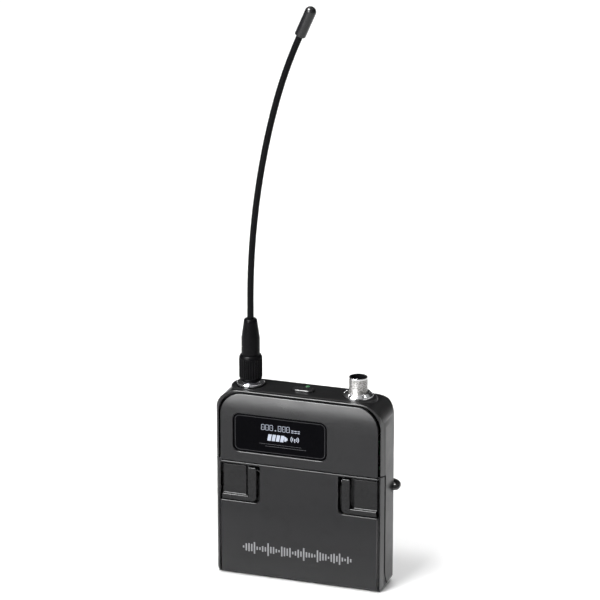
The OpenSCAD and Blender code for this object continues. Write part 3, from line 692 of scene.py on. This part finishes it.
def zero(x, z, w, h, stroke):
    """A digit zero with cut corners and a dot in it."""
    cut = stroke * 0.9
    dot = stroke * 0.4
    return [
        bar(x + cut, z, x + w - cut, z + stroke),
        bar(x + cut, z + h - stroke, x + w - cut, z + h),
        bar(x, z + cut, x + stroke, z + h - cut),
        bar(x + w - stroke, z + cut, x + w, z + h - cut),
        bar(x + w / 2 - dot, z + h * 0.42, x + w / 2 + dot, z + h * 0.58),
    ]


def arc(cx, cz, radius, stroke, start, end, steps=6):
    """A stroke that follows part of a circle, from start to end in degrees."""
    verts, faces = [], []
    for i in range(steps + 1):
        angle = math.radians(start + (end - start) * i / steps)
        for r in (radius - stroke / 2, radius + stroke / 2):
            for y in (LENS_Y - RELIEF, LENS_Y + RELIEF):
                verts.append((cx + r * math.cos(angle), y, cz + r * math.sin(angle)))
    for i in range(steps):
        b = i * 4
        faces += [(b, b + 2, b + 6, b + 4), (b + 1, b + 5, b + 7, b + 3)]
        faces += [(b, b + 4, b + 5, b + 1), (b + 2, b + 3, b + 7, b + 6)]
    last = steps * 4
    faces += [(0, 1, 3, 2), (last, last + 2, last + 3, last + 1)]
    return verts, faces


def digits():
    """Three zeros, a point and three zeros."""
    marks = []
    for i in range(7):
        x = DIGIT_X0 + i * DIGIT_PITCH
        if i == 3:
            marks.append(bar(x + 0.45, DIGIT_Z, x + 0.9, DIGIT_Z + 0.42))
        else:
            marks += zero(x, DIGIT_Z, DIGIT_W, DIGIT_H, STROKE)
    return marks


def battery_mark():
    """A pale body cut by three leaning gaps, with a pointed end."""
    marks = [bar(-13.1, BATTERY_Z0, -11.7, BATTERY_Z1, 0.5)]
    marks += [bar(-11.3 + i * 1.75, BATTERY_Z0, -9.95 + i * 1.75, BATTERY_Z1, 0.5) for i in range(3)]
    marks += [bar(-6.0, 58.9, -5.2, 60.8), bar(-5.2, 59.35, -4.7, 60.35)]
    return marks


def unit_blocks():
    """Two rows of three short blocks where a unit would be written."""
    return [
        bar(BLOCK_X0 + i * BLOCK_PITCH, z, BLOCK_X0 + 0.9 + i * BLOCK_PITCH, z + 0.3)
        for z in (DIGIT_Z, DIGIT_Z + 0.8)
        for i in range(3)
    ]


def signal_mark():
    """A dot on a stem with two strokes on each side."""
    stem = bar(SIGNAL_X - 0.15, 58.9, SIGNAL_X + 0.15, 59.9)
    marks = [stem, bar(SIGNAL_X - 0.3, 59.8, SIGNAL_X + 0.3, 60.4)]
    for radius in (0.95, 1.6):
        marks.append(arc(SIGNAL_X, SIGNAL_Z, radius, 0.28, -42, 42))
        marks.append(arc(SIGNAL_X, SIGNAL_Z, radius, 0.28, 138, 222))
    return marks


all_marks = merged(*digits(), *battery_mark(), *unit_blocks(), *signal_mark())
add("display_marks", all_marks, "display_window", "glyph", 30, False)
rules = merged(bar(-14.0, 56.05, 3.0, 56.17), bar(-16.5, 56.95, 1.0, 57.05))
add("display_rule", rules, "display_window", "glyph_dim", 30, False)

# ---------------------------------------------------------------- stage, light and camera
FLOOR_HALF = 6.0
CAMERA_AZIMUTH = 18.9
CAMERA_ELEVATION = 18.2
CAMERA_TARGET = (-0.0024, 0, 0.1151)
CAMERA_DISTANCE = 1.2206
CAMERA_LENS = 188.4


def pale_floor():
    """A wide matt floor just under the rest plane."""
    s = FLOOR_HALF
    mesh = bpy.data.meshes.new("floor")
    mesh.from_pydata([(-s, -s, 0), (s, -s, 0), (s, s, 0), (-s, s, 0)], [], [(0, 1, 2, 3)])
    g = Graph("floor_pale")
    g.set("Base Color", (0.93, 0.93, 0.93))
    g.set("Roughness", 0.9)
    g.set("Specular IOR Level", 0.0)
    mesh.materials.append(g.mat)
    floor = bpy.data.objects.new("floor", mesh)
    floor.location.z = -0.2 * MM
    scene.collection.objects.link(floor)


def studio_world():
    """A dim white surround, darker behind the object than in front of it."""
    world = bpy.data.worlds.new("studio")
    world.use_nodes = True
    scene.world = world
    tree = world.node_tree
    background = tree.nodes["Background"]
    background.inputs["Color"].default_value = (1, 1, 1, 1)
    direction = tree.nodes.new("ShaderNodeTexCoord")
    parts = tree.nodes.new("ShaderNodeSeparateXYZ")
    fall = tree.nodes.new("ShaderNodeMapRange")
    for name, value in (("From Min", -0.6), ("From Max", 0.7), ("To Min", 0.10), ("To Max", 0.05)):
        fall.inputs[name].default_value = value
    tree.links.new(direction.outputs["Generated"], parts.inputs[0])
    tree.links.new(parts.outputs["Y"], fall.inputs["Value"])
    tree.links.new(fall.outputs[0], background.inputs["Strength"])


def softbox(name, place, target, size, power):
    """A square area light of that size, aimed at target."""
    data = bpy.data.lights.new(name, "AREA")
    data.shape = "RECTANGLE"
    data.size = size
    data.size_y = size
    data.energy = power
    light = bpy.data.objects.new(name, data)
    light.location = place
    light.rotation_mode = "QUATERNION"
    light.rotation_quaternion = (Vector(target) - Vector(place)).to_track_quat("-Z", "Y")
    scene.collection.objects.link(light)
    return light


def photo_camera():
    azimuth, elevation = math.radians(CAMERA_AZIMUTH), math.radians(CAMERA_ELEVATION)
    level = math.cos(elevation)
    back = Vector((math.sin(azimuth) * level, -math.cos(azimuth) * level, math.sin(elevation)))
    data = bpy.data.cameras.new("camera")
    data.sensor_width = 36.0
    data.lens = CAMERA_LENS
    data.clip_start = 0.01
    data.clip_end = 100
    camera = bpy.data.objects.new("camera", data)
    camera.location = Vector(CAMERA_TARGET) + back * CAMERA_DISTANCE
    camera.rotation_mode = "QUATERNION"
    camera.rotation_quaternion = (-back).to_track_quat("-Z", "Y")
    scene.collection.objects.link(camera)
    scene.camera = camera


pale_floor()
studio_world()
softbox("over", (0.0, 0.1, 1.6), (0, 0.1, 0.0), 2.6, 13)
# lights the floor and the back, but isn't seen in the glossy top
rear = softbox("behind", (0.2, 1.3, 1.4), (0.2, 0.8, 0.0), 2.0, 26)
rear.visible_glossy = False
softbox("key", (-0.42, -0.42, 1.35), (0, 0, 0.05), 0.4, 9)
softbox("front_high", (-0.55, -1.4, 0.74), (0, 0, 0.08), 0.8, 36)
# seen only in reflections: it draws the bright lines along the upper edges
glint = softbox("glint", (-0.45, -0.5, 1.3), (0, 0, 0.05), 0.6, 65)
glint.visible_diffuse = False
photo_camera()
scene.view_settings.view_transform = "Standard"
